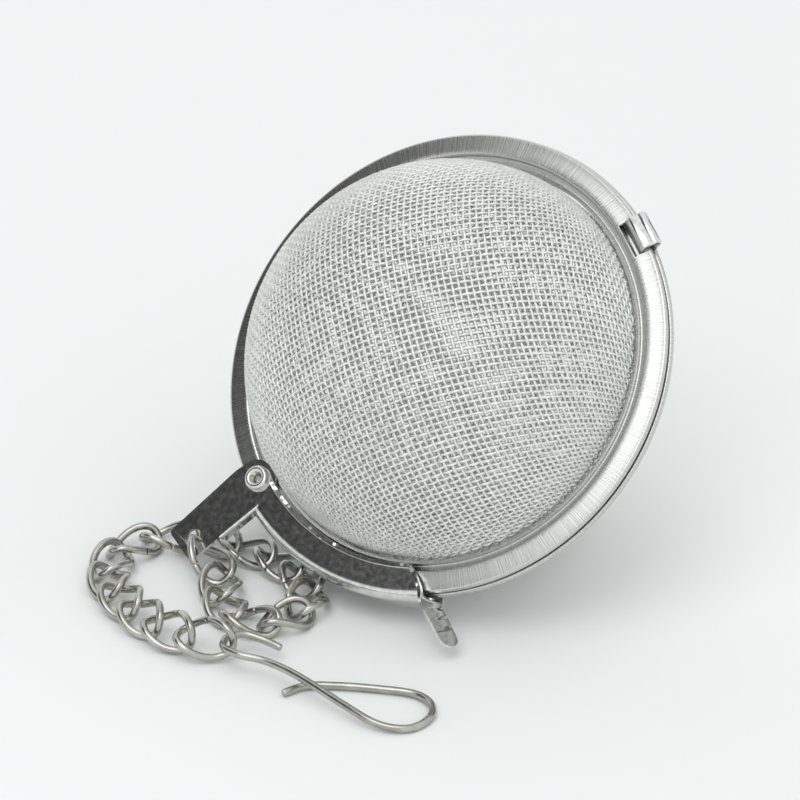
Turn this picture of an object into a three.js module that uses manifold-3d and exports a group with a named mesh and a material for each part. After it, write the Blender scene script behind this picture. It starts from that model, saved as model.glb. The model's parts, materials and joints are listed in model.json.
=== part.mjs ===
// Mesh ball tea infuser, closed and lying tilted on its back shell, with its clip, chain and hook.
// Units are mm. The ball's own frame has its origin at the ball's centre on the closing plane,
// +Z through the front dome's pole and +X towards the hinge. The row frame has +Z up.
import * as THREE from 'three';
import { mergeVertices } from 'three/addons/utils/BufferGeometryUtils.js';
import Module from 'manifold-3d';

const RAD = Math.PI / 180;
const wasm = await Module();
wasm.setup();

// How the closed ball lies on the table.
const LIE = { tilt: 47.5 * RAD, heading: 234.7 * RAD, roll: 140.8 * RAD };

// Clearance between pieces, overlap of shapes that are joined, and the reach of through cuts.
const GAP = 0.3;
const OVERLAP = 0.1;
const CUT = { low: -1, high: 4 };
const MERGE_WITHIN = 1e-4;

// Ball: two equal domes, each held in a rolled rim.
const BALL_RADIUS = 22.8;
const MESH_WALL = 0.45;
const DOME_START = 0.35;
const RIM_RADIUS = 26.5;
const BACK_RIM_EXTRA = 0.2;
const FLANGE = { low: 0.55, high: 0.9 };
const BEAD = { inner: 25.7, low: 0.15, high: 1.2, corner: 0.25, neck: 0.1, shoulder: 0.2 };
const COLLAR = { inner: 23.1, outer: 23.7, run: 0.4 };
const ROUND_STEPS = 48;
const DOME_RINGS = 9;
const CURVE_STEPS = 16;
const HOLE_STEPS = 24;
const RIVET_STEPS = 20;

// Shell hinge: a tab of the back rim curls round the front rim's bead, through a slot.
const PIN = { radius: RIM_RADIUS - 0.4, height: 0.675 };
const CURL = { inner: 0.95, outer: 1.35, width: 3.6, from: -75 * RAD, to: 225 * RAD };
const CURL_STEPS = 14;
const SLOT = { inner: 24.4, outer: 25.65, length: 4.4 };

// Clip lever: one bent sheet on a hollow rivet, opposite the hinge.
const SHEET = { low: 1.5, thick: 0.45 };
const SHEET_HIGH = SHEET.low + SHEET.thick;
const RIVET = { at: -24.9, shank: 0.75, bore: 0.4, foot: 1.15, footThick: 0.2 };
const HEAD = { radius: 1.4, thick: 0.35, edge: 0.1, belly: 0.15, shoulder: 0.25, mouth: 0.2 };
const RIVET_HOLE = RIVET.shank + GAP;
const FOOT_GAP = 0.25;
const BOSS_RADIUS = 1.9;
const CLIP = { inner: 23.4, outer: 27.5, start: 183 * RAD, end: 238.5 * RAD };
const WALL = { inner: 27.05, start: 193.3 * RAD, low: 0.0, end: 237.6 * RAD };
const CATCH = { start: 228 * RAD, end: 240.2 * RAD, low: -2.4, lip: 26.3, lipHigh: -2.0, lipStart: 229 * RAD };
const ARM = { direction: 191.1 * RAD, length: 11.7, rootHalf: 2.4, tipHalf: 2.1 };
const ARM_HOLE = { at: 9.85, radius: 1.1 };
const CLIP_FACE = { radius: 25.4, angle: 215 * RAD };
const TAB_STEPS = 8;
const TAB = { from: 26.2, fromAngle: 238.0 * RAD, to: 34.0, toAngle: 244.9 * RAD, low: -0.5, rootLength: 1.3 };

// Chain: equal links of round wire, each an oval twisted a quarter turn, with a seam on one long side.
const WIRE = 0.47;
const LINK = { halfLength: 3.25, halfWidth: 2.1, fullness: 0.8, halfTwist: 45 * RAD, halfSeam: 2.5 * RAD };
const LINK_STEPS = 18;
const LINK_SIDES = 6;
const FIRST_JOINT_REACH = 5.4;
const LINKS_ON_TABLE = 17;
const TABLE_HEIGHT = 1.25;
const END_ROLL = { links: 5, angle: 45 * RAD, height: 2.45 };
const ROUTE_TENSION = 0.5;
const HOOK_SIDES = 10;
const HOOK_STEPS = 72;

// The chain's way over the table, from under the clip's arm round to the hook, measured from the
// point below the ball's centre.
const CHAIN_ROUTE = [
  [-25.5, -12.7], [-25.1, -16.2], [-23.0, -18.9], [-19.4, -19.2], [-16.5, -17.0], [-15.4, -13.2], [-16.6, -9.2],
  [-19.9, -5.2], [-24.8, -2.1], [-29.9, -0.5], [-34.2, -1.1], [-37.2, -4.0], [-38.2, -8.2], [-37.2, -12.6],
  [-35.0, -16.8], [-32.3, -20.7], [-28.8, -23.6], [-24.85, -24.9],
];

// The hook's wire, from its short cut end round the eye, along the shank, round the loop and back
// under the shank to the long cut end. The third number is the height over the table.
const HOOK_ROUTE = [
  [-18.8, -25.0, 1.5], [-20.9, -23.6, 1.8], [-22.9, -23.0, 2.1], [-24.7, -24.0, 2.2], [-25.0, -25.8, 2.2],
  [-23.4, -27.4, 2.2], [-20.4, -28.7, 2.1], [-16.9, -31.6, 1.95], [-12.4, -36.2, 1.4], [-8.6, -39.4, 0.75],
  [-5.2, -40.0, 0.47], [-2.9, -38.0, 0.47], [-2.6, -35.2, 0.47], [-4.4, -33.0, 0.47], [-8.4, -31.9, 0.47],
  [-12.8, -31.2, 0.47], [-16.2, -31.2, 0.47], [-18.6, -32.6, 0.47],
];

const STEEL = {
  rim_steel: { color: 0xc4c5c2, roughness: 0.38 },
  mesh_steel: { color: 0xb4b6b5, roughness: 0.5 },
  clip_steel: { color: 0x9b9c9a, roughness: 0.22 },
  wire_steel: { color: 0xa9a7a0, roughness: 0.3 },
};

function polar(radius, angle, height = 0) {
  return new THREE.Vector3(radius * Math.cos(angle), radius * Math.sin(angle), height);
}

// Geometry to and from the boolean library.

function solid(geometry) {
  const bare = geometry.index ? geometry.clone() : geometry;
  bare.deleteAttribute('normal');
  bare.deleteAttribute('uv');
  const merged = mergeVertices(bare, MERGE_WITHIN);
  const mesh = new wasm.Mesh({
    numProp: 3,
    vertProperties: merged.attributes.position.array,
    triVerts: new Uint32Array(merged.index.array),
  });
  return new wasm.Manifold(mesh);
}

function geometryOf(manifold) {
  const mesh = manifold.getMesh();
  const geometry = new THREE.BufferGeometry();
  geometry.setAttribute('position', new THREE.BufferAttribute(new Float32Array(mesh.vertProperties), 3));
  geometry.setIndex(new THREE.BufferAttribute(new Uint32Array(mesh.triVerts), 1));
  return geometry;
}

// Shapes in the ball's frame.

function revolved(profile, steps) {
  const points = profile.map(([radius, height]) => new THREE.Vector2(radius, height));
  const lathe = new THREE.LatheGeometry(points, steps);
  lathe.rotateX(Math.PI / 2);
  return lathe;
}

function upright(radius, low, high, x = 0, y = 0) {
  const cylinder = new THREE.CylinderGeometry(radius, radius, high - low, HOLE_STEPS);
  cylinder.rotateX(Math.PI / 2);
  cylinder.translate(x, y, (low + high) / 2);
  return cylinder;
}

function plate(shape, low, high, curveSegments = CURVE_STEPS) {
  const geometry = new THREE.ExtrudeGeometry(shape, { depth: high - low, bevelEnabled: false, curveSegments });
  geometry.translate(0, 0, low);
  return geometry;
}

function arcBand(inner, outer, start, end) {
  const shape = new THREE.Shape();
  shape.absarc(0, 0, outer, start, end, false);
  shape.absarc(0, 0, inner, end, start, true);
  shape.closePath();
  return shape;
}

function rimRing(extra) {
  const outer = RIM_RADIUS + extra;
  const { low, high, corner, inner, neck, shoulder } = BEAD;
  const profile = [
    [COLLAR.inner, low], [COLLAR.outer, low], [COLLAR.outer, FLANGE.low],
    [inner - neck, FLANGE.low], [inner, low], [outer - corner, low],
    [outer, low + corner], [outer, high - corner], [outer - corner, high],
    [inner + shoulder, high], [inner - neck, FLANGE.high], [COLLAR.outer + COLLAR.run, FLANGE.high],
    [COLLAR.outer, high], [COLLAR.inner, high],
  ];
  profile.push(profile[0]);
  return revolved(profile, ROUND_STEPS);
}

function meshDome() {
  const arc = (radius) => {
    const start = Math.asin(DOME_START / radius);
    const points = [];
    for (let i = 0; i < DOME_RINGS; i += 1) {
      const angle = start + (Math.PI / 2 - start) * (i / DOME_RINGS);
      points.push([radius * Math.cos(angle), radius * Math.sin(angle)]);
    }
    points.push([0, radius]);
    return points;
  };
  const inside = arc(BALL_RADIUS - MESH_WALL).reverse();
  return revolved([...inside, ...arc(BALL_RADIUS)], ROUND_STEPS);
}

function frontRim() {
  const slotMiddle = (SLOT.inner + SLOT.outer) / 2;
  const slot = new THREE.BoxGeometry(SLOT.outer - SLOT.inner, SLOT.length, CUT.high);
  slot.translate(slotMiddle, 0, 0);
  const rivetHole = upright(RIVET_HOLE, CUT.low, CUT.high, RIVET.at);
  const footPocket = upright(RIVET.foot + GAP, CUT.low, FLANGE.low + OVERLAP, RIVET.at);
  return solid(rimRing(0)).subtract(solid(slot)).subtract(solid(rivetHole)).subtract(solid(footPocket));
}

// Made the way up of the front rim, so the tab, drawn where it lies on the closed ball, is turned over.
function backRim() {
  const curl = new THREE.Shape();
  curl.absarc(PIN.radius, PIN.height, CURL.outer, CURL.from, CURL.to, false);
  curl.absarc(PIN.radius, PIN.height, CURL.inner, CURL.to, CURL.from, true);
  curl.closePath();
  const tab = plate(curl, -CURL.width / 2, CURL.width / 2, CURL_STEPS);
  tab.rotateX(Math.PI / 2);
  tab.rotateX(Math.PI);
  return solid(rimRing(BACK_RIM_EXTRA)).add(solid(tab));
}

function rivet() {
  const footLow = FLANGE.low - FOOT_GAP - RIVET.footThick;
  const footHigh = footLow + RIVET.footThick;
  const headLow = SHEET_HIGH + GAP;
  const headHigh = headLow + HEAD.thick;
  const profile = [
    [RIVET.bore, footLow], [RIVET.foot, footLow], [RIVET.foot, footHigh], [RIVET.shank, footHigh],
    [RIVET.shank, headLow], [HEAD.radius - HEAD.edge, headLow], [HEAD.radius, headLow + HEAD.belly],
    [HEAD.radius - HEAD.shoulder, headHigh], [RIVET.bore + HEAD.mouth, headHigh],
    [RIVET.bore, headHigh - HEAD.mouth],
  ];
  profile.push(profile[0]);
  return revolved(profile, RIVET_STEPS);
}

function armOutline() {
  const shape = new THREE.Shape();
  shape.moveTo(0, -ARM.rootHalf);
  shape.lineTo(ARM.length, -ARM.tipHalf);
  shape.lineTo(ARM.length, ARM.tipHalf);
  shape.lineTo(0, ARM.rootHalf);
  shape.closePath();
  return shape;
}

function armPlate() {
  const geometry = plate(armOutline(), SHEET.low, SHEET_HIGH);
  geometry.rotateZ(ARM.direction);
  geometry.translate(RIVET.at, 0, 0);
  return geometry;
}

// The finger tab: a tongue folded down at the clip's far end, which runs outwards past the rims and
// has a round end.
function fingerTab() {
  const root = polar(TAB.from, TAB.fromAngle);
  const run = polar(TAB.to, TAB.toAngle).sub(root);
  const half = (SHEET_HIGH - TAB.low) / 2;
  const roundAt = run.length() - half;
  const shape = new THREE.Shape();
  shape.moveTo(0, SHEET.low);
  shape.lineTo(TAB.rootLength, SHEET.low);
  shape.lineTo(TAB.rootLength, TAB.low);
  shape.lineTo(roundAt, TAB.low);
  shape.absarc(roundAt, TAB.low + half, half, -Math.PI / 2, Math.PI / 2, false);
  shape.lineTo(0, SHEET_HIGH);
  shape.closePath();
  const geometry = plate(shape, -SHEET.thick / 2, SHEET.thick / 2, TAB_STEPS);
  geometry.rotateX(Math.PI / 2);
  geometry.rotateZ(Math.atan2(run.y, run.x));
  geometry.translate(root.x, root.y, 0);
  return geometry;
}

function clipLever() {
  const catchWall = arcBand(WALL.inner, CLIP.outer, CATCH.start, CATCH.end);
  const catchLip = arcBand(CATCH.lip, WALL.inner + OVERLAP, CATCH.lipStart, CATCH.end);
  const parts = [
    plate(arcBand(CLIP.inner, CLIP.outer, CLIP.start, CLIP.end), SHEET.low, SHEET_HIGH),
    upright(BOSS_RADIUS, SHEET.low, SHEET_HIGH, RIVET.at),
    armPlate(),
    plate(arcBand(WALL.inner, CLIP.outer, WALL.start, WALL.end), WALL.low, SHEET.low + OVERLAP),
    plate(catchWall, CATCH.low, WALL.low + OVERLAP, TAB_STEPS),
    plate(catchLip, CATCH.low, CATCH.lipHigh, TAB_STEPS),
    fingerTab(),
  ];
  const whole = parts.map(solid).reduce((sum, part) => sum.add(part));
  const hole = chainHole();
  return whole
    .subtract(solid(upright(RIVET_HOLE, CUT.low, CUT.high, RIVET.at)))
    .subtract(solid(upright(ARM_HOLE.radius, CUT.low, CUT.high, hole.x, hole.y)));
}

function chainHole() {
  const middle = (SHEET.low + SHEET_HIGH) / 2;
  return polar(ARM_HOLE.at, ARM.direction, middle).add(new THREE.Vector3(RIVET.at, 0, 0));
}

// The chain and its hook.

// One link's wire in its own frame, from one cut end round to the other. +X runs from joint point to
// joint point, and the seam is in the middle of the +Y side.
class LinkCurve extends THREE.Curve {
  getPoint(part, target = new THREE.Vector3()) {
    const turn = Math.PI / 2 + LINK.halfSeam + part * 2 * (Math.PI - LINK.halfSeam);
    const sine = Math.sin(turn);
    const aside = LINK.halfWidth * Math.sign(sine) * Math.abs(sine) ** LINK.fullness;
    const lean = LINK.halfTwist * Math.cos(turn);
    return target.set(LINK.halfLength * Math.cos(turn), aside * Math.cos(lean), aside * Math.sin(lean));
  }
}

// A circle of a shape is drawn with twice as many sides as curveSegments.
function wireAlong(path, steps, sides) {
  const section = new THREE.Shape().absarc(0, 0, WIRE, 0, 2 * Math.PI, false);
  const options = { steps, curveSegments: sides / 2, bevelEnabled: false, extrudePath: path };
  return geometryOf(solid(new THREE.ExtrudeGeometry(section, options)));
}

// The joint points along the chain: the arm's hole, then equal steps along the route.
function chainJoints(ball) {
  const hole = ball.localToWorld(chainHole());
  const downArmSide = ballDirection(ball, polar(1, ARM.direction + Math.PI / 2));
  const first = hole.clone().addScaledVector(downArmSide, FIRST_JOINT_REACH);
  const points = [first];
  CHAIN_ROUTE.forEach(([x, y], i) => {
    const fromEnd = CHAIN_ROUTE.length - 1 - i;
    const lift = Math.max(0, 1 - fromEnd / END_ROLL.links);
    points.push(new THREE.Vector3(x, y, TABLE_HEIGHT + lift * (END_ROLL.height - TABLE_HEIGHT)));
  });
  const route = new THREE.CatmullRomCurve3(points, false, 'catmullrom', ROUTE_TENSION);
  const joints = [hole];
  for (let i = 0; i <= LINKS_ON_TABLE; i += 1) {
    joints.push(route.getPointAt(i / LINKS_ON_TABLE));
  }
  return joints;
}

// Puts a link between two joint points, its flat side along `flat`, turned by `roll` about the line
// between them.
function placeLink(link, start, end, flat, roll) {
  const along = end.clone().sub(start).normalize();
  const across = flat.clone().addScaledVector(along, -flat.dot(along)).normalize();
  const upward = along.clone().cross(across);
  link.position.copy(start).add(end).multiplyScalar(0.5);
  link.quaternion.setFromRotationMatrix(new THREE.Matrix4().makeBasis(along, across, upward));
  link.rotateX(roll);
}

// The first link hangs from the arm's hole, so its own end lies a little past the hole's middle.
function placeFirstLink(link, joints, armNormal) {
  const [hole, first] = joints;
  const slack = 2 * LINK.halfLength - FIRST_JOINT_REACH;
  const start = hole.clone().lerp(first, slack / FIRST_JOINT_REACH);
  placeLink(link, start, first, armNormal, LINK.halfTwist);
}

function placeLaterLink(link, joints, i) {
  const along = joints[i + 1].clone().sub(joints[i]);
  const flat = new THREE.Vector3(0, 0, 1).cross(along);
  const fromEnd = joints.length - 2 - i;
  const roll = Math.max(0, 1 - fromEnd / END_ROLL.links) * END_ROLL.angle;
  placeLink(link, joints[i], joints[i + 1], flat, roll);
}

function hookCurve() {
  const points = HOOK_ROUTE.map(([x, y, z]) => new THREE.Vector3(x, y, z));
  return new THREE.CatmullRomCurve3(points, false, 'catmullrom', ROUTE_TENSION);
}

// The assembly.

function steelMesh(name, slot, geometry) {
  const { color, roughness } = STEEL[slot];
  const material = new THREE.MeshStandardMaterial({ name: slot, color, roughness, metalness: 1 });
  const mesh = new THREE.Mesh(geometry, material);
  mesh.name = name;
  return mesh;
}

function ballDirection(ball, direction) {
  return direction.clone().transformDirection(ball.matrixWorld);
}

const infuser = new THREE.Group();
infuser.name = 'tea_infuser';

// Two nested groups lay the ball on the table: the outer one lifts and heads it, the inner one
// tilts and rolls it.
const lie = new THREE.Group();
lie.name = 'lie';
lie.position.z = BALL_RADIUS;
lie.rotation.z = LIE.heading;
infuser.add(lie);

const ball = new THREE.Group();
ball.name = 'ball';
ball.rotation.set(0, LIE.tilt, LIE.roll);
lie.add(ball);

const domeGeometry = geometryOf(solid(meshDome()));

const backShell = new THREE.Group();
backShell.name = 'back_shell';
backShell.rotation.x = Math.PI;
backShell.add(steelMesh('back_rim', 'rim_steel', geometryOf(backRim())));
backShell.add(steelMesh('back_mesh', 'mesh_steel', domeGeometry));
ball.add(backShell);

const frontShell = new THREE.Group();
frontShell.name = 'front_shell';
frontShell.add(steelMesh('front_rim', 'rim_steel', geometryOf(frontRim())));
frontShell.add(steelMesh('front_mesh', 'mesh_steel', domeGeometry));
ball.add(frontShell);

const rivetMesh = steelMesh('rivet', 'clip_steel', geometryOf(solid(rivet())));
rivetMesh.position.x = RIVET.at;
frontShell.add(rivetMesh);
frontShell.add(steelMesh('clip_lever', 'clip_steel', geometryOf(clipLever())));
infuser.updateMatrixWorld(true);

const ballNormal = ballDirection(ball, new THREE.Vector3(0, 0, 1));
const joints = chainJoints(ball);
const linkGeometry = wireAlong(new LinkCurve(), LINK_STEPS, LINK_SIDES);
for (let i = 0; i < joints.length - 1; i += 1) {
  const link = steelMesh(`chain_link_${String(i + 1).padStart(2, '0')}`, 'wire_steel', linkGeometry);
  if (i === 0) {
    placeFirstLink(link, joints, ballNormal);
  } else {
    placeLaterLink(link, joints, i);
  }
  infuser.add(link);
}
infuser.add(steelMesh('hook', 'wire_steel', wireAlong(hookCurve(), HOOK_STEPS, HOOK_SIDES)));

// The part's origin is the middle of the bounding box's floor.
const box = new THREE.Box3().setFromObject(infuser, true);
infuser.position.set(-(box.min.x + box.max.x) / 2, -(box.min.y + box.max.y) / 2, -box.min.z);
infuser.updateMatrixWorld(true);

// Joint centres and axes in the part's frame, for its record.
const onBall = (point) => ball.localToWorld(point);
const onTable = (point) => infuser.localToWorld(point);
const pivot = (point, axis) => ({ pos: point.toArray(), axis: axis.toArray() });
const upwards = new THREE.Vector3(0, 0, 1);
const hingeAxis = ballDirection(ball, new THREE.Vector3(0, 1, 0));
const rivetPoint = new THREE.Vector3(RIVET.at, 0, 0);
infuser.userData.pivots = {
  shell_hinge: pivot(onBall(polar(PIN.radius, 0, PIN.height)), hingeAxis),
  clip_turn: pivot(onBall(rivetPoint.clone().setZ(SHEET.low)), ballNormal.clone().negate()),
  ball_centre: pivot(onBall(new THREE.Vector3()), ballNormal),
  clip_face: pivot(onBall(polar(CLIP_FACE.radius, CLIP_FACE.angle, SHEET_HIGH)), ballNormal),
  table: pivot(onTable(new THREE.Vector3()), upwards),
  chain: joints.map((point) => pivot(onTable(point.clone()), upwards)),
};

export default infuser;
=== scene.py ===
"""Mesh ball tea infuser: the seen pieces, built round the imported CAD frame.

Lengths are in mm in the ball's own frame (+Z through the front dome's pole, +X to the hinge) or in mm
over the table, and are turned to metres in the row frame when a mesh is made.
"""

import json
import math

import bmesh
import bpy
import numpy as np
from mathutils import Matrix, Vector


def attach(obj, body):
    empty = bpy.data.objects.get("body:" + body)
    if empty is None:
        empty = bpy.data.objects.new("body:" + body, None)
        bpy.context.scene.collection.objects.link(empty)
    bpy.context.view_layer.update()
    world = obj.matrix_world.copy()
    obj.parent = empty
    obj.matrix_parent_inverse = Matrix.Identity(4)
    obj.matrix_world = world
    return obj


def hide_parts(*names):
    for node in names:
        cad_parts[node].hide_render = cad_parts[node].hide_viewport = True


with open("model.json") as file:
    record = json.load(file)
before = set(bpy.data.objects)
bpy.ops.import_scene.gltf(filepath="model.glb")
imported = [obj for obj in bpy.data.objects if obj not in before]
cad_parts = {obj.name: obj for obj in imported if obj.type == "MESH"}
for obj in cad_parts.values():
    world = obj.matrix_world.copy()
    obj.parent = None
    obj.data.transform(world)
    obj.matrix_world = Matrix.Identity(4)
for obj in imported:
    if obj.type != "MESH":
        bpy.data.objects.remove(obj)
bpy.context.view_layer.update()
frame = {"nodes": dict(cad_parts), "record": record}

MM = 0.001
RECORD = frame["record"]
JOINTS = {joint["name"]: joint for joint in RECORD["behaviour"]["joints"]}
FRONT, BACK, CLIP, HOOK = "front_shell", "back_shell", "clip", "hook"
LINKS = sorted(name for name in frame["nodes"] if name.startswith("chain_link_"))

# ---------------------------------------------------------------- driving dimensions, in mm
BALL_RADIUS = 22.8
RIM_RADIUS = 26.5
BACK_RIM_EXTRA = 0.2
RIM_SHEET = 0.32
RIM_STEPS = 300
FLANGE_OUTER_HEIGHT = 0.76
EDGE_ROLL_RADIUS = 0.2
EDGE_ROLL_HEIGHT = 0.53

PIN_RADIUS = 26.1
PIN_HEIGHT = 0.675
SLOT_INNER = 24.42
SLOT_OUTER = 25.62
HINGE_HALF_WIDTH = 2.1
HINGE_SHEET = 0.3
CURL_RADIUS = 0.84

RIVET_X = -24.9
RIVET_BORE = 0.42
RIVET_SHANK = 0.76
RIVET_FOOT = 1.15
RIVET_RING = 1.02
RIVET_RING_HALF = 0.44

PLATE_LOW = 1.5
PLATE_THICK = 0.45
PLATE_HIGH = PLATE_LOW + PLATE_THICK

MESH_PITCH = 0.745
MESH_WIRE_RADIUS = 0.185
MESH_WAVE = 0.1
MESH_DEPTH = 0.25
MESH_LOWEST = 0.75
FRONT_DOME_FLATTENING = 0.95
WEAVE_TURN_FRONT = math.radians(-14.5)
WEAVE_TURN_BACK = math.radians(22.0)

CHAIN_WIRE_RADIUS = 0.43
LINK_HALF_LENGTH = 3.25
LINK_HALF_WIDTH = 2.1
LINK_FULLNESS = 0.8
LINK_HALF_TWIST = math.radians(45)
END_ROLL_LINKS = 5
END_ROLL = math.radians(45)

CAMERA_ELEVATION = math.radians(29.7)
CAMERA_TURN = math.radians(1.0)
CAMERA_DISTANCE = 800
PICTURE_WIDTH = 88.33
RIM_FACE_HEIGHT = 1.1
AIM_RIGHT = -4.92
AIM_UP = -4.33

# ---------------------------------------------------------------- light, in metres and watts
FLOOR_SIZE = 6
FLOOR_COLOUR = (0.885, 0.897, 0.892)
KEY_PLACE = (-0.24, -0.28, 0.78)
KEY_SIZE = 0.62
KEY_WATTS = 1.75
ROOM_STRENGTH = 1.01
DARK_SIDE = (-0.79, 0.0, 0.615)
DARK_SIDE_STOPS = [
    (0.78, (0.94, 0.97, 0.97)),
    (0.90, (0.68, 0.70, 0.70)),
    (0.95, (0.13, 0.13, 0.13)),
    (0.975, (0.035, 0.035, 0.035)),
]
DARK_BACK = (0.66, 0.68, 0.32)
DARK_BACK_STOPS = [(0.955, (1.0, 1.0, 1.0)), (0.985, (0.1, 0.1, 0.1))]


# ---------------------------------------------------------------- frames
def unit(vector):
    vector = np.asarray(vector, float)
    return vector / np.linalg.norm(vector)


def ball_frame():
    """(3x3 with the ball's axes as columns, the ball's centre in mm), read from the CAD's joints."""
    upwards = -unit(JOINTS["clip_turn"]["axis"])
    sideways = unit(JOINTS["shell_hinge"]["axis"])
    outwards = unit(np.cross(sideways, upwards))
    axes = np.column_stack([outwards, sideways, upwards])
    pin = np.array(JOINTS["shell_hinge"]["pos_m"]) / MM
    return axes, pin - axes @ np.array([PIN_RADIUS, 0, PIN_HEIGHT])


BALL_AXES, BALL_CENTRE = ball_frame()
TABLE_POINT = np.array([BALL_CENTRE[0], BALL_CENTRE[1], BALL_CENTRE[2] - BALL_RADIUS])


def ball_to_row(points):
    return np.asarray(points, float) @ BALL_AXES.T + BALL_CENTRE


def closed_mesh(name, row_points, faces):
    """A closed mesh from points in mm in the row frame, with every face turned outwards."""
    mesh = bpy.data.meshes.new(name)
    mesh.from_pydata((np.asarray(row_points) * MM).tolist(), [], [list(map(int, face)) for face in faces])
    work = bmesh.new()
    work.from_mesh(mesh)
    bmesh.ops.recalc_face_normals(work, faces=work.faces)
    work.to_mesh(mesh)
    work.free()
    return mesh


def make_object(name, row_points, faces, body, slot, replaced=()):
    """A smooth mesh piece from points in mm in the row frame, riding on a body."""
    mesh = closed_mesh(name, row_points, faces)
    mesh.polygons.foreach_set("use_smooth", [True] * len(mesh.polygons))
    obj = bpy.data.objects.new(name, mesh)
    bpy.context.scene.collection.objects.link(obj)
    obj.data.materials.append(MATERIALS[slot])
    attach(obj, body)
    if replaced:
        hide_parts(*replaced)
    return obj


def loose_object(points, faces):
    """A shape in the ball's frame for a boolean, on no body."""
    obj = bpy.data.objects.new("part", closed_mesh("part", ball_to_row(points), faces))
    bpy.context.scene.collection.objects.link(obj)
    return obj


# ---------------------------------------------------------------- materials
def colour_ramp(nodes, stops):
    node = nodes.new("ShaderNodeValToRGB")
    elements = node.color_ramp.elements
    while len(elements) < len(stops):
        elements.new(0.5)
    for element, (position, colour) in zip(elements, stops):
        element.position = position
        element.color = (*colour, 1)
    return node


def metal(name):
    material = bpy.data.materials.new(name)
    material.use_nodes = True
    shader = material.node_tree.nodes["Principled BSDF"]
    shader.inputs["Metallic"].default_value = 1.0
    return material, material.node_tree.nodes, material.node_tree.links, shader


def vary(nodes, links, shader, pattern, colours, roughness, bump_strength):
    """Drives a metal's colour, roughness and fine bump by one noise texture."""
    noise = pattern.outputs["Fac"]
    colour = colour_ramp(nodes, colours)
    links.new(noise, colour.inputs["Fac"])
    links.new(colour.outputs["Color"], shader.inputs["Base Color"])
    rough = colour_ramp(nodes, [(position, (level,) * 3) for position, level in roughness])
    links.new(noise, rough.inputs["Fac"])
    links.new(rough.outputs["Color"], shader.inputs["Roughness"])
    if bump_strength:
        bump = nodes.new("ShaderNodeBump")
        bump.inputs["Strength"].default_value = bump_strength
        bump.inputs["Distance"].default_value = 0.00004
        links.new(noise, bump.inputs["Height"])
        links.new(bump.outputs["Normal"], shader.inputs["Normal"])


def brush_round(nodes, links, shader, place):
    """Stretches the gloss across the brushing, by a tangent that runs round the ball's axis."""
    from_centre = nodes.new("ShaderNodeVectorMath")
    from_centre.operation = "SUBTRACT"
    from_centre.inputs[1].default_value = Vector(BALL_CENTRE * MM)
    around = nodes.new("ShaderNodeVectorMath")
    around.operation = "CROSS_PRODUCT"
    around.inputs[0].default_value = Vector(BALL_AXES[:, 2])
    links.new(place.outputs["Object"], from_centre.inputs[0])
    links.new(from_centre.outputs["Vector"], around.inputs[1])
    links.new(around.outputs["Vector"], shader.inputs["Tangent"])
    shader.inputs["Anisotropic"].default_value = 0.4


def rim_material():
    """Steel brushed outwards from the ball's centre: noise that changes only with the angle round it."""
    material, nodes, links, shader = metal("rim_steel")
    place = nodes.new("ShaderNodeTexCoord")
    to_ball = nodes.new("ShaderNodeMapping")
    to_ball.vector_type = "TEXTURE"
    to_ball.inputs["Location"].default_value = Vector(BALL_CENTRE * MM)
    to_ball.inputs["Rotation"].default_value = Matrix(BALL_AXES.tolist()).to_euler("XYZ")
    split = nodes.new("ShaderNodeSeparateXYZ")
    angle = nodes.new("ShaderNodeMath")
    angle.operation = "ARCTAN2"
    streak = nodes.new("ShaderNodeTexNoise")
    streak.noise_dimensions = "1D"
    streak.inputs["Scale"].default_value = 160
    streak.inputs["Detail"].default_value = 6
    streak.inputs["Roughness"].default_value = 0.7
    links.new(place.outputs["Object"], to_ball.inputs["Vector"])
    links.new(to_ball.outputs["Vector"], split.inputs["Vector"])
    links.new(split.outputs["Y"], angle.inputs[0])
    links.new(split.outputs["X"], angle.inputs[1])
    links.new(angle.outputs["Value"], streak.inputs["W"])
    brush_round(nodes, links, shader, place)
    colours = [(0.32, (0.46, 0.46, 0.45)), (0.68, (0.72, 0.72, 0.705))]
    vary(nodes, links, shader, streak, colours, [(0.3, 0.30), (0.7, 0.18)], 0.35)
    return material


def noisy_steel(name, dark, bright, scale, rough_low, rough_high, bump_strength=0.0):
    """Steel whose colour and roughness drift a little, as handled metal does."""
    material, nodes, links, shader = metal(name)
    place = nodes.new("ShaderNodeTexCoord")
    noise = nodes.new("ShaderNodeTexNoise")
    noise.inputs["Scale"].default_value = scale
    noise.inputs["Detail"].default_value = 4
    links.new(place.outputs["Object"], noise.inputs["Vector"])
    colours = [(0.35, dark), (0.65, bright)]
    vary(nodes, links, shader, noise, colours, [(0.3, rough_low), (0.7, rough_high)], bump_strength)
    return material


MATERIALS = {
    "rim_steel": rim_material(),
    "mesh_steel": noisy_steel("mesh_steel", (0.79, 0.80, 0.78), (0.91, 0.91, 0.89), 900, 0.50, 0.64),
    "clip_steel": noisy_steel("clip_steel", (0.66, 0.66, 0.65), (0.80, 0.80, 0.79), 1800, 0.13, 0.18, 0.006),
    "rivet_steel": noisy_steel("rivet_steel", (0.66, 0.65, 0.61), (0.80, 0.79, 0.75), 700, 0.2, 0.28),
    "wire_steel": noisy_steel("wire_steel", (0.38, 0.37, 0.335), (0.54, 0.53, 0.49), 400, 0.16, 0.28, 0.2),
}


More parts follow.
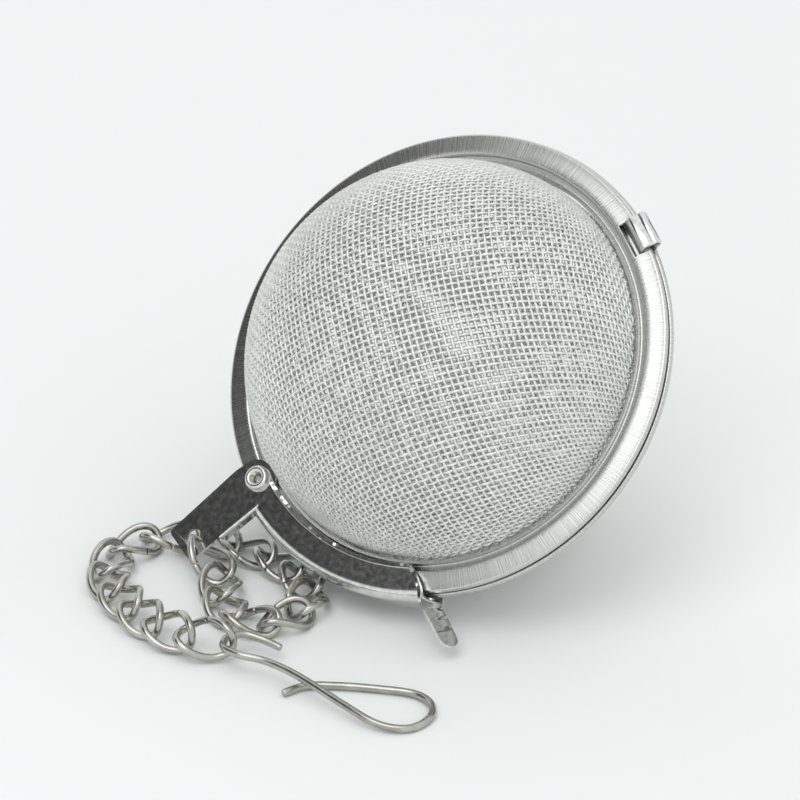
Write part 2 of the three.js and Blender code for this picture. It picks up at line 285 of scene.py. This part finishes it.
# ---------------------------------------------------------------- shape helpers
def grid_faces(rows, columns, closed_rows, closed_columns, start=0):
    """Quads over a rows x columns grid of points."""
    last_row = rows if closed_rows else rows - 1
    last_column = columns if closed_columns else columns - 1
    row, column = np.meshgrid(np.arange(last_row), np.arange(last_column), indexing="ij")
    next_row = (row + 1) % rows
    next_column = (column + 1) % columns
    corners = [row * columns + column, row * columns + next_column]
    corners += [next_row * columns + next_column, next_row * columns + column]
    return np.stack([corner.ravel() for corner in corners], 1) + start


def capped_sweep(rings):
    """A closed solid from equal rings, each an outline made by thicken()."""
    count = len(rings[0])
    half = count // 2
    points = np.vstack(rings)
    faces = [tuple(face)[::-1] for face in grid_faces(len(rings), count, False, True)]
    last = (len(rings) - 1) * count
    for i in range(half - 1):
        quad = (i, i + 1, count - 2 - i, count - 1 - i)
        faces.append(quad)
        faces.append(tuple(last + corner for corner in quad[::-1]))
    return points, faces


def prism(outline, low, high):
    """A flat plate: a plan outline between two heights."""
    outline = np.asarray(outline, float)
    count = len(outline)
    points = np.vstack([np.column_stack([outline, np.full(count, z)]) for z in (low, high)])
    faces = [tuple(face) for face in grid_faces(2, count, False, True)]
    faces.append(tuple(range(count - 1, -1, -1)))
    faces.append(tuple(range(count, 2 * count)))
    return points, faces


def round_bar(radius, low, high, x, y, steps=48):
    """An upright round bar."""
    angles = np.linspace(0, 2 * np.pi, steps, endpoint=False)
    return prism(np.column_stack([x + radius * np.cos(angles), y + radius * np.sin(angles)]), low, high)


def box_shape(low, high):
    corners = [(x, y, z) for x in (low[0], high[0]) for y in (low[1], high[1]) for z in (low[2], high[2])]
    faces = [(0, 1, 3, 2), (4, 6, 7, 5), (0, 4, 5, 1), (2, 3, 7, 6), (0, 2, 6, 4), (1, 5, 7, 3)]
    return np.array(corners, float), faces


def revolve(profile, steps):
    """A closed (radius, height) profile, anticlockwise, turned about the Z axis."""
    profile = np.asarray(profile, float)
    angles = np.linspace(0, 2 * np.pi, steps, endpoint=False)
    radius, height = profile[:, 0], profile[:, 1]
    x = np.outer(np.cos(angles), radius)
    y = np.outer(np.sin(angles), radius)
    z = np.tile(height, (steps, 1))
    points = np.stack([x, y, z], 2).reshape(-1, 3)
    faces = grid_faces(steps, len(profile), True, True)
    return points, faces[:, ::-1]


def thicken(path, thickness):
    """A closed outline round an open (radius, height) path, thickness to either side of it."""
    path = np.asarray(path, float)
    along = np.gradient(path, axis=0)
    along /= np.linalg.norm(along, axis=1)[:, None]
    side = np.column_stack([-along[:, 1], along[:, 0]]) * thickness / 2
    return np.vstack([path + side, (path - side)[::-1]])


def arc(centre, radius, start, end, steps):
    """Points along a circle, from one angle in degrees to another."""
    angles = np.radians(np.linspace(start, end, steps))
    return [(centre[0] + radius * math.cos(a), centre[1] + radius * math.sin(a)) for a in angles]


def eased(value, start, end):
    """0 before start, 1 after end, and a smooth step between."""
    part = min(max((value - start) / (end - start), 0), 1)
    return part * part * (3 - 2 * part)


def side_vectors(points):
    """Two unit vectors square to an open path at each point, carried along it without twisting."""
    tangents = np.gradient(np.asarray(points, float), axis=0)
    tangents /= np.linalg.norm(tangents, axis=1)[:, None]
    first = [unit(np.cross(tangents[0], [0, 0, 1.0]))]
    for tangent in tangents[1:]:
        first.append(unit(first[-1] - tangent * (first[-1] @ tangent)))
    first = np.array(first)
    return first, np.cross(tangents, first)


def tube(points, radius, sides, square_to_path, start=0):
    """Points and faces of a round wire along an open path, with flat ends."""
    points = np.asarray(points, float)
    first, second = square_to_path
    radii = np.broadcast_to(radius, len(points))
    angles = np.linspace(0, 2 * np.pi, sides, endpoint=False)
    ring = first[:, None] * np.cos(angles)[None, :, None] + second[:, None] * np.sin(angles)[None, :, None]
    around = points[:, None] + ring * radii[:, None, None]
    faces = [tuple(face) for face in grid_faces(len(points), sides, False, True, start)]
    count = len(points) * sides
    faces.append(tuple(range(start + sides - 1, start - 1, -1)))
    faces.append(tuple(range(start + count - sides, start + count)))
    return around.reshape(-1, 3), faces


def auto_smooth(obj, degrees):
    """Smooth shading that keeps edges sharper than this angle."""
    obj.data.polygons.foreach_set("use_smooth", [True] * len(obj.data.polygons))
    obj.data.set_sharp_from_angle(angle=math.radians(degrees))


def cut_wire(name, path, sides, end_scale, body, node):
    """A chain or hook wire along a path, a little thinner at its two cut ends."""
    radii = np.full(len(path), CHAIN_WIRE_RADIUS)
    radii[[0, -1]] *= end_scale
    points, faces = tube(path, radii, sides, side_vectors(path))
    auto_smooth(make_object(name, points, faces, body, "wire_steel", (node,)), 50)


def path_lengths(path):
    """How far along a path each of its points lies."""
    return np.concatenate([[0], np.cumsum(np.linalg.norm(np.diff(path, axis=0), axis=1))])


def smooth_path(controls, count):
    """Evenly spaced points along a uniform Catmull-Rom curve through the control points."""
    controls = np.asarray(controls, float)
    ends = np.vstack([2 * controls[0] - controls[1], controls, 2 * controls[-1] - controls[-2]])
    dense = []
    for i in range(len(controls) - 1):
        p0, p1, p2, p3 = ends[i : i + 4]
        t = np.linspace(0, 1, 40, endpoint=False)[:, None]
        curve = 2 * p1 + (p2 - p0) * t + (2 * p0 - 5 * p1 + 4 * p2 - p3) * t**2
        dense.append(0.5 * (curve + (3 * p1 - p0 - 3 * p2 + p3) * t**3))
    dense = np.vstack([*dense, controls[-1:]])
    lengths = path_lengths(dense)
    at = np.linspace(0, lengths[-1], count)
    return np.column_stack([np.interp(at, lengths, axis) for axis in dense.T])


def apply_modifiers(obj):
    depsgraph = bpy.context.evaluated_depsgraph_get()
    made = bpy.data.meshes.new_from_object(obj.evaluated_get(depsgraph))
    obj.modifiers.clear()
    old = obj.data
    obj.data = made
    bpy.data.meshes.remove(old)


def combine(obj, shapes, operation):
    """Adds shapes to a piece (UNION) or takes them out of it (DIFFERENCE)."""
    for points, faces in shapes:
        other = loose_object(points, faces)
        modifier = obj.modifiers.new("boolean", "BOOLEAN")
        modifier.operation = operation
        modifier.solver = "EXACT"
        modifier.object = other
        apply_modifiers(obj)
        bpy.data.objects.remove(other)


def bevel(obj, width, segments=3, degrees=35):
    modifier = obj.modifiers.new("bevel", "BEVEL")
    modifier.width = width * MM
    modifier.segments = segments
    modifier.limit_method = "ANGLE"
    modifier.angle_limit = math.radians(degrees)
    apply_modifiers(obj)


def even_shading(obj):
    """Normals weighted by face area, so that large flat faces shade flat up to their rounded edges."""
    modifier = obj.modifiers.new("normals", "WEIGHTED_NORMAL")
    modifier.mode = "FACE_AREA"
    modifier.weight = 90
    modifier.keep_sharp = True
    apply_modifiers(obj)


# ---------------------------------------------------------------- shells
def rim_profile(extra):
    """The rim's sheet from the mesh outwards: collar, dark corner, bead, sloping flange, rolled edge."""
    edge = RIM_RADIUS + extra
    collar = [(23.08, 1.2), (23.1, 0.95)]
    corner = arc((23.43, 0.74), radius=0.33, start=180, end=290, steps=8)
    bead = arc((24.34, 0.62), radius=0.36, start=172, end=98, steps=7)
    flange = [(24.8, 0.908), (25.3, 0.833), (edge - 0.7, FLANGE_OUTER_HEIGHT)]
    roll = arc((edge - 0.36, EDGE_ROLL_HEIGHT), EDGE_ROLL_RADIUS, start=97, end=-190, steps=22)
    return thicken(collar + corner + bead + flange + roll, RIM_SHEET)[::-1]


def rim(name, node, body, back):
    points, faces = revolve(rim_profile(BACK_RIM_EXTRA if back else 0.0), RIM_STEPS)
    if back:
        points = points * [1, -1, -1]
    return make_object(name, ball_to_row(points), faces, body, "rim_steel", (node,))


def front_rim():
    """The front rim, with the slot that the hinge tab's end curls into."""
    obj = rim("front_rim_sheet", "front_rim", FRONT, False)
    half_width = HINGE_HALF_WIDTH + 0.1
    slot = box_shape((SLOT_INNER, -half_width, -2.0), (SLOT_OUTER, half_width, 3.0))
    combine(obj, [slot], "DIFFERENCE")
    auto_smooth(obj, 40)


def weave_net(turn):
    """Crossing points of a square cloth fitted to a dome: unit vectors, rows x columns from the pole."""
    step = MESH_PITCH / BALL_RADIUS
    reach = int(math.pi / 2 / step) + 1
    net = np.full((reach + 1, reach + 1, 3), np.nan)
    for i in range(reach + 1):
        net[i, 0] = (math.sin(i * step), 0, math.cos(i * step))
        net[0, i] = (0, math.sin(i * step), math.cos(i * step))
    for i in range(1, reach + 1):
        for j in range(1, reach + 1):
            mirror = np.cross(net[i - 1, j], net[i, j - 1])
            size = np.linalg.norm(mirror)
            if not size > 1e-6:
                continue
            mirror /= size
            before = net[i - 1, j - 1]
            net[i, j] = before - 2 * (before @ mirror) * mirror
    whole = np.full((2 * reach + 1, 2 * reach + 1, 3), np.nan)
    for i in range(-reach, reach + 1):
        for j in range(-reach, reach + 1):
            point = net[abs(i), abs(j)]
            whole[i + reach, j + reach] = point * [np.sign(i) or 1, np.sign(j) or 1, 1]
    cos_turn, sin_turn = math.cos(turn), math.sin(turn)
    spin = np.array([[cos_turn, -sin_turn, 0], [sin_turn, cos_turn, 0], [0, 0, 1]])
    return whole @ spin.T


def woven_wires(net, across):
    """The wires of one direction of the cloth, as tubes that pass over and under the others."""
    if across:
        net = net.transpose(1, 0, 2)
    samples, shortest, sides = 3, 4, 4
    all_points, all_faces, start = [], [], 0
    for row, line in enumerate(net):
        inside = ~np.isnan(line[:, 0]) & (line[:, 2] * BALL_RADIUS > MESH_LOWEST)
        at = np.flatnonzero(inside)
        if len(at) < shortest:
            continue
        at = np.arange(at[0], at[-1] + 1)
        stretch = line[at]
        if np.isnan(stretch).any():
            continue
        steps = np.arange(0, len(at) - 1 + 1e-9, 1 / samples)
        flat = np.column_stack([np.interp(steps, np.arange(len(at)), axis) for axis in stretch.T])
        flat /= np.linalg.norm(flat, axis=1)[:, None]
        phase = at[0] + row + (1 if across else 0)
        lift = MESH_WAVE * np.cos(np.pi * (steps + phase))
        path = flat * (BALL_RADIUS - MESH_DEPTH + lift)[:, None]
        tangents = np.gradient(path, axis=0)
        tangents /= np.linalg.norm(tangents, axis=1)[:, None]
        first = np.cross(tangents, flat)
        first /= np.linalg.norm(first, axis=1)[:, None]
        points, faces = tube(path, MESH_WIRE_RADIUS, sides, (first, np.cross(tangents, first)), start)
        all_points.append(points)
        all_faces.extend(faces)
        start += len(points)
    return np.vstack(all_points), all_faces


def mesh_dome(node, body, turn, back):
    net = weave_net(turn)
    for across, word in ((False, "warp"), (True, "weft")):
        points, faces = woven_wires(net, across)
        points = points * ([1, -1, -1] if back else [1, 1, FRONT_DOME_FLATTENING])
        make_object(f"{node}_{word}", ball_to_row(points), faces, body, "mesh_steel", (node,))


def hinge_tab():
    """The back rim's tab: a strip that rolls up outside the front rim, over its edge and into the slot."""
    section = arc((PIN_RADIUS, PIN_HEIGHT), CURL_RADIUS, start=215, end=95, steps=9)
    section += [(26.5, 1.34)]
    section += arc((27.05, 0.6), radius=0.55, start=108, end=-95, steps=14)
    section += [(26.7, -0.35), (26.45, -0.85)]
    path = smooth_path(section, 70)
    outline = thicken(path, HINGE_SHEET)
    middle = np.vstack([path, path[::-1]])
    square = HINGE_HALF_WIDTH - 0.08
    rings = []
    for width, scale in ((-HINGE_HALF_WIDTH, 0.7), (-square, 1.0), (square, 1.0), (HINGE_HALF_WIDTH, 0.7)):
        shrunk = middle + (outline - middle) * scale
        rings.append(np.column_stack([shrunk[:, 0], np.full(len(shrunk), width), shrunk[:, 1]]))
    points, faces = capped_sweep(rings)
    auto_smooth(make_object("hinge_tab", ball_to_row(points), faces, BACK, "clip_steel"), 40)


def rivet():
    """A hollow rivet: rolled head over the clip, tube, and foot under the flange."""
    head_low = PLATE_HIGH + 0.02
    foot = [(RIVET_BORE, 0.1), (RIVET_FOOT - 0.03, 0.1), (RIVET_FOOT, 0.2), (RIVET_FOOT - 0.05, 0.3)]
    shank = [(RIVET_SHANK, 0.32), (RIVET_SHANK, head_low)]
    ring = [(RIVET_FOOT, head_low)]
    ring += arc((RIVET_RING, head_low + 0.22), RIVET_RING_HALF, start=-32, end=165, steps=14)
    bore = [(RIVET_BORE + 0.08, head_low + 0.2), (RIVET_BORE, head_low + 0.02)]
    points, faces = revolve(foot + shank + ring + bore, 64)
    points = points + [RIVET_X, 0, 0]
    obj = make_object("rivet_head", ball_to_row(points), faces, FRONT, "clip_steel", ("rivet",))
    obj.data.materials[0] = MATERIALS["rivet_steel"]
    auto_smooth(obj, 35)


# ---------------------------------------------------------------- clip lever
# Lengths are in mm. A name that ends in _AT is an angle round the ball, in degrees.
CLIP_START_AT = 181.0
CLIP_END_AT = 234.2
CLIP_END_SLANT = 1.07
WALL_START_AT = 190.0
WALL_FULL_AT = 195.0
CATCH_START_AT = 225.5
CATCH_FULL_AT = 228.5
CATCH_END_AT = 240.3
WALL_RADIUS = 27.27
WALL_BEND = 0.9
WALL_TOP = 0.82
CATCH_TOP = 0.7
CATCH_LIP_RADIUS = 0.3
CATCH_SHEET = PLATE_THICK * 0.9
DOWN_THE_WALL = (0.33, 0.67, 1.0)

ARM_DIRECTION = math.radians(188.6)
HOLE_DIRECTION = math.radians(191.1)
ARM_LENGTH = 11.7
ARM_HOLE_ALONG = 9.85
ARM_HOLE = 1.1
ARM_ROOT = 1.5
ARM_ROOT_HALF = 2.6
ARM_TIP_HALF = 2.3
ARM_CORNER = 0.5
ARM_SLOPE = (ARM_TIP_HALF - ARM_ROOT_HALF) / (ARM_LENGTH - 2.0)
BOSS_ALONG = 2.0
BOSS_ACROSS = 2.4
LIP_START = 1.7
LIP_END = 7.4
LIP_DROP = 1.1

TAB_ROUTE = [
    (-13.80, -19.14), (-13.72, -20.6), (-13.92, -22.3), (-14.5, -24.0), (-14.5, -27.2), (-14.42, -30.1),
]
TAB_LEAN = math.radians(36)
TAB_HALF_THICK = 0.2
TAB_ROOT_WIDTH = 0.62
TAB_WIDENING = 1.75
TAB_NARROWING = 0.15
TAB_RISE = 0.22
TAB_FALL = 0.15
TAB_TIP = 1.25


def polar_ring(outline, angles):
    """A (radius, height) outline stood up at an angle, or at one angle for each of its points."""
    angles = np.radians(angles)
    return np.column_stack([outline[:, 0] * np.cos(angles), outline[:, 0] * np.sin(angles), outline[:, 1]])


def channel():
    """The curved clip: a flat plate with a turned-up inner edge, a rounded bend and an outer wall."""
    middle = PLATE_LOW + PLATE_THICK / 2
    inner_edge = arc((24.02, middle + 0.3), radius=0.3, start=175, end=268, steps=6)
    plate = [(24.35, middle), (24.6, middle), (25.95, middle), (26.2, middle)]
    bend = arc((WALL_RADIUS - WALL_BEND, middle - WALL_BEND), WALL_BEND, start=87, end=3, steps=14)
    rings = []
    for part in np.linspace(0, 1, 120):
        angle = CLIP_START_AT + part * (CLIP_END_AT - CLIP_START_AT)
        depth = 0.05 + 0.75 * eased(angle, WALL_START_AT, WALL_FULL_AT)
        wall = [(WALL_RADIUS, WALL_TOP - down * depth) for down in DOWN_THE_WALL]
        outline = thicken(inner_edge + plate + bend + wall, PLATE_THICK)
        end = CLIP_END_AT + CLIP_END_SLANT * (outline[:, 0] - 23.4)
        rings.append(polar_ring(outline, CLIP_START_AT + part * (end - CLIP_START_AT)))
    return capped_sweep(rings)


def catch():
    """The deep end of the clip's wall, whose lip hooks under the back rim."""
    inner = WALL_RADIUS - CATCH_LIP_RADIUS
    rings = []
    for angle in np.linspace(CATCH_START_AT, CATCH_END_AT, 40):
        deep = eased(angle, CATCH_START_AT, CATCH_FULL_AT)
        low = 0.1 - 2.3 * deep
        path = [(WALL_RADIUS, CATCH_TOP + down * (low - 0.35)) for down in (0.0, *DOWN_THE_WALL)]
        path += arc((inner, low + CATCH_LIP_RADIUS), CATCH_LIP_RADIUS, start=-5, end=-85, steps=5)
        path += [(inner - 0.35 * deep - 0.06, low), (inner - 0.6 * deep - 0.12, low + 0.03)]
        rings.append(polar_ring(thicken(path, CATCH_SHEET), np.full(2 * len(path), angle)))
    return capped_sweep(rings)


def turned_to_arm(outline):
    """Plan points along and across the arm, turned to the ball's frame."""
    outline = np.asarray(outline, float)
    along = np.array([math.cos(ARM_DIRECTION), math.sin(ARM_DIRECTION)])
    across = np.array([-along[1], along[0]])
    return np.array([RIVET_X, 0]) + outline[:, :1] * along + outline[:, 1:] * across


def arm_side(along):
    """How far the arm's edge lies from its middle line."""
    return ARM_ROOT_HALF + ARM_SLOPE * (along - ARM_ROOT)


def arm():
    """The chain arm: a flat tapered strip with a round boss at the rivet."""
    around_boss = np.linspace(math.pi / 2, 3 * math.pi / 2, 24)
    corner_along = ARM_LENGTH - ARM_CORNER
    corner_across = ARM_TIP_HALF - ARM_CORNER
    outline = [(BOSS_ALONG * math.cos(a), BOSS_ACROSS * math.sin(a)) for a in around_boss]
    outline += [(ARM_ROOT, -ARM_ROOT_HALF), (corner_along, -ARM_TIP_HALF)]
    outline += arc((corner_along, -corner_across), ARM_CORNER, start=-60, end=0, steps=3)
    outline += arc((corner_along, corner_across), ARM_CORNER, start=0, end=90, steps=4)
    outline += [(ARM_ROOT, ARM_ROOT_HALF)]
    return prism(turned_to_arm(outline), PLATE_LOW, PLATE_HIGH)


def arm_lip():
    """The arm's lower edge, folded down to stiffen it."""
    outer = [(along, arm_side(along) + 0.03) for along in (LIP_START, LIP_END)]
    inner = [(along, side - PLATE_THICK) for along, side in outer]
    return prism(turned_to_arm(inner + outer[::-1]), PLATE_LOW - LIP_DROP, PLATE_HIGH - 0.2)


def arm_bend():
    """The rounded bend along the top of the arm's folded edge."""
    plan = turned_to_arm([(along, arm_side(along) - 0.1) for along in (LIP_START, LIP_END)])
    path = np.column_stack([plan, [PLATE_HIGH - 0.26] * 2])
    return tube(path, 0.3, 24, side_vectors(path))


def finger_tab():
    """The tongue: the clip's end edge folded down, running outwards past the rims to a round end."""
    plan = smooth_path(TAB_ROUTE, 60)
    run = path_lengths(plan)
    length = run[-1]
    along = np.gradient(plan, axis=0)
    along /= np.linalg.norm(along, axis=1)[:, None]
    across = np.column_stack([-along[:, 1], along[:, 0]])
    rings = []
    for place, side, at in zip(plan, across, run):
        lean = TAB_LEAN * eased(at, 3.4, 5.4)
        top = np.array([*place, PLATE_HIGH + TAB_RISE * eased(at, 0, 1.6) - TAB_FALL * eased(at, 4, 9)])
        downward = np.array([math.sin(lean), 0, -math.cos(lean)])
        outward = np.array([*side, 0]) * math.cos(lean) + np.array([0, 0, math.sin(lean)])
        width = TAB_ROOT_WIDTH + TAB_WIDENING * eased(at, 3.5, 4.8) - TAB_NARROWING * eased(at, 6, length)
        into_tip = max(0, at - (length - TAB_TIP)) / TAB_TIP
        rounding = math.sqrt(max(1 - into_tip**2, 0.01))
        start, end = width * (1 - rounding) / 2, width * (1 + rounding) / 2
        corners = ((end, -1), (end, 1), (start, 1), (start, -1))
        rings.append([top + down * downward + out * TAB_HALF_THICK * outward for down, out in corners])
    faces = [tuple(face) for face in grid_faces(len(rings), 4, False, True)]
    last = 4 * (len(rings) - 1)
    faces += [(3, 2, 1, 0), (last, last + 1, last + 2, last + 3)]
    return np.vstack(rings), faces


def clip_lever():
    points, faces = channel()
    obj = make_object("clip_lever_sheet", ball_to_row(points), faces, CLIP, "clip_steel", ("clip_lever",))
    combine(obj, [arm(), arm_lip(), arm_bend(), catch(), finger_tab()], "UNION")
    hole_x = RIVET_X + ARM_HOLE_ALONG * math.cos(HOLE_DIRECTION)
    hole_y = ARM_HOLE_ALONG * math.sin(HOLE_DIRECTION)
    chain_hole = round_bar(ARM_HOLE, 0, 4, hole_x, hole_y)
    rivet_hole = round_bar(RIVET_SHANK + 0.04, 0, 4, RIVET_X, 0)
    combine(obj, [chain_hole, rivet_hole], "DIFFERENCE")
    bevel(obj, 0.08)
    auto_smooth(obj, 32)
    even_shading(obj)


# ---------------------------------------------------------------- chain
LINK_POINTS = 120
LINK_RINGS = 140
SEAM_HALF_GAP = 0.35


def link_wire(start, end, flat, roll):
    """Centreline of one link, in mm: an oval twisted a quarter turn, from the middle of one long side."""
    along = unit(end - start)
    across = unit(flat - along * (flat @ along))
    upward = np.cross(along, across)
    t = np.linspace(0, 2 * np.pi, LINK_POINTS, endpoint=False)
    angle = roll + LINK_HALF_TWIST * np.cos(t)
    lateral = np.cos(angle)[:, None] * across + np.sin(angle)[:, None] * upward
    off = LINK_HALF_WIDTH * np.sign(np.sin(t)) * np.abs(np.sin(t)) ** LINK_FULLNESS
    path = (start + end) / 2 + lateral * off[:, None] + along * (LINK_HALF_LENGTH * np.cos(t))[:, None]
    return np.roll(path, -LINK_POINTS // 4, axis=0)


def chain_link(node, start, end, flat, roll):
    """One link. Its wire is an open length whose two cut ends meet in a butt seam on one long side."""
    path = link_wire(start, end, flat, roll)
    path = np.vstack([path, path[:1]])
    steps = np.linspace(SEAM_HALF_GAP, LINK_POINTS - SEAM_HALF_GAP, LINK_RINGS)
    path = np.column_stack([np.interp(steps, np.arange(len(path)), axis) for axis in path.T])
    cut_wire(f"{node}_wire", path, 14, 0.86, node, node)


def chain():
    """Every link between its joint and the next. The last few links roll to meet the hook's eye."""
    joints = [np.array(JOINTS[f"{name}_swing"]["pos_m"]) / MM for name in [*LINKS, "hook"]]
    hole, first = joints[0], joints[1]
    reach = np.linalg.norm(first - hole)
    start = hole + (first - hole) * (2 * LINK_HALF_LENGTH - reach) / reach
    chain_link(LINKS[0], start, first, BALL_AXES[:, 2], LINK_HALF_TWIST)
    for i in range(1, len(LINKS)):
        flat = np.cross([0, 0, 1.0], joints[i + 1] - joints[i])
        from_end = len(LINKS) - 1 - i
        roll = max(0, 1 - from_end / END_ROLL_LINKS) * END_ROLL
        chain_link(LINKS[i], joints[i], joints[i + 1], flat, roll)


# The wire's middle line, from the eye's end to the hook's, in mm from the table under the ball's centre.
HOOK_ROUTE = [
    (-18.8, -25.0, 1.5), (-20.9, -23.6, 1.8), (-22.9, -23.0, 2.1), (-24.7, -24.0, 2.2), (-25.0, -25.8, 2.2),
    (-23.4, -27.4, 2.2), (-20.4, -28.7, 2.1), (-16.9, -31.6, 1.95), (-12.4, -36.2, 1.4), (-8.6, -39.4, 0.75),
    (-5.2, -40.0, 0.47), (-2.9, -38.0, 0.47), (-2.6, -35.2, 0.47), (-4.4, -33.0, 0.47), (-8.4, -31.9, 0.47),
    (-12.8, -31.2, 0.47), (-16.2, -31.2, 0.47), (-18.6, -32.6, 0.47),
]


def hook():
    cut_wire("hook_wire", smooth_path(np.array(HOOK_ROUTE) + TABLE_POINT, 420), 16, 0.84, HOOK, "hook")


# ---------------------------------------------------------------- stage
def floor():
    material = bpy.data.materials.new("floor")
    material.use_nodes = True
    shader = material.node_tree.nodes["Principled BSDF"]
    shader.inputs["Base Color"].default_value = (*FLOOR_COLOUR, 1)
    shader.inputs["Roughness"].default_value = 0.9
    shader.inputs["Specular IOR Level"].default_value = 0.1
    bpy.ops.mesh.primitive_plane_add(size=FLOOR_SIZE, location=(0, 0, 0))
    obj = bpy.context.object
    obj.name = "floor"
    obj.data.materials.append(material)


def key_light():
    data = bpy.data.lights.new("key", "AREA")
    data.shape = "SQUARE"
    data.size = KEY_SIZE
    data.energy = KEY_WATTS
    obj = bpy.data.objects.new("key", data)
    bpy.context.scene.collection.objects.link(obj)
    obj.location = KEY_PLACE
    towards_ball = Vector(BALL_CENTRE * MM) - Vector(KEY_PLACE)
    obj.rotation_euler = towards_ball.to_track_quat("-Z", "Y").to_euler()


def room_side(nodes, links, place, direction, stops):
    """The room's colour by how near a direction lies to the middle of a dark place."""
    nearness = nodes.new("ShaderNodeVectorMath")
    nearness.operation = "DOT_PRODUCT"
    nearness.inputs[1].default_value = unit(direction)
    links.new(place.outputs["Generated"], nearness.inputs[0])
    colours = colour_ramp(nodes, stops)
    links.new(nearness.outputs["Value"], colours.inputs["Fac"])
    return colours.outputs["Color"]


def room():
    """Pale light from all round, with two dark places for the polished steel to mirror."""
    world = bpy.data.worlds.new("studio")
    bpy.context.scene.world = world
    world.use_nodes = True
    nodes, links = world.node_tree.nodes, world.node_tree.links
    place = nodes.new("ShaderNodeTexCoord")
    both = nodes.new("ShaderNodeVectorMath")
    both.operation = "MULTIPLY"
    links.new(room_side(nodes, links, place, DARK_SIDE, DARK_SIDE_STOPS), both.inputs[0])
    links.new(room_side(nodes, links, place, DARK_BACK, DARK_BACK_STOPS), both.inputs[1])
    links.new(both.outputs["Vector"], nodes["Background"].inputs["Color"])
    nodes["Background"].inputs["Strength"].default_value = ROOM_STRENGTH
    bpy.context.scene.view_settings.view_transform = "Standard"


def camera():
    data = bpy.data.cameras.new("camera")
    data.lens = CAMERA_DISTANCE * data.sensor_width / PICTURE_WIDTH
    obj = bpy.data.objects.new("camera", data)
    bpy.context.scene.collection.objects.link(obj)
    sin_turn, cos_turn = math.sin(CAMERA_TURN), math.cos(CAMERA_TURN)
    level = math.cos(CAMERA_ELEVATION)
    look = np.array([level * sin_turn, level * cos_turn, -math.sin(CAMERA_ELEVATION)])
    right = np.array([cos_turn, -sin_turn, 0])
    up = np.cross(right, look)
    rim_centre = BALL_CENTRE + BALL_AXES[:, 2] * RIM_FACE_HEIGHT
    aim = rim_centre + right * AIM_RIGHT + up * AIM_UP
    obj.location = Vector((aim - look * CAMERA_DISTANCE) * MM)
    obj.rotation_euler = Vector(look).to_track_quat("-Z", "Y").to_euler()
    data.clip_end = 20
    bpy.context.scene.camera = obj


# ---------------------------------------------------------------- build
camera()
floor()
key_light()
room()
rim("back_rim_sheet", "back_rim", BACK, True)
front_rim()
hinge_tab()
mesh_dome("back_mesh", BACK, WEAVE_TURN_BACK, True)
mesh_dome("front_mesh", FRONT, WEAVE_TURN_FRONT, False)
rivet()
clip_lever()
chain()
hook()
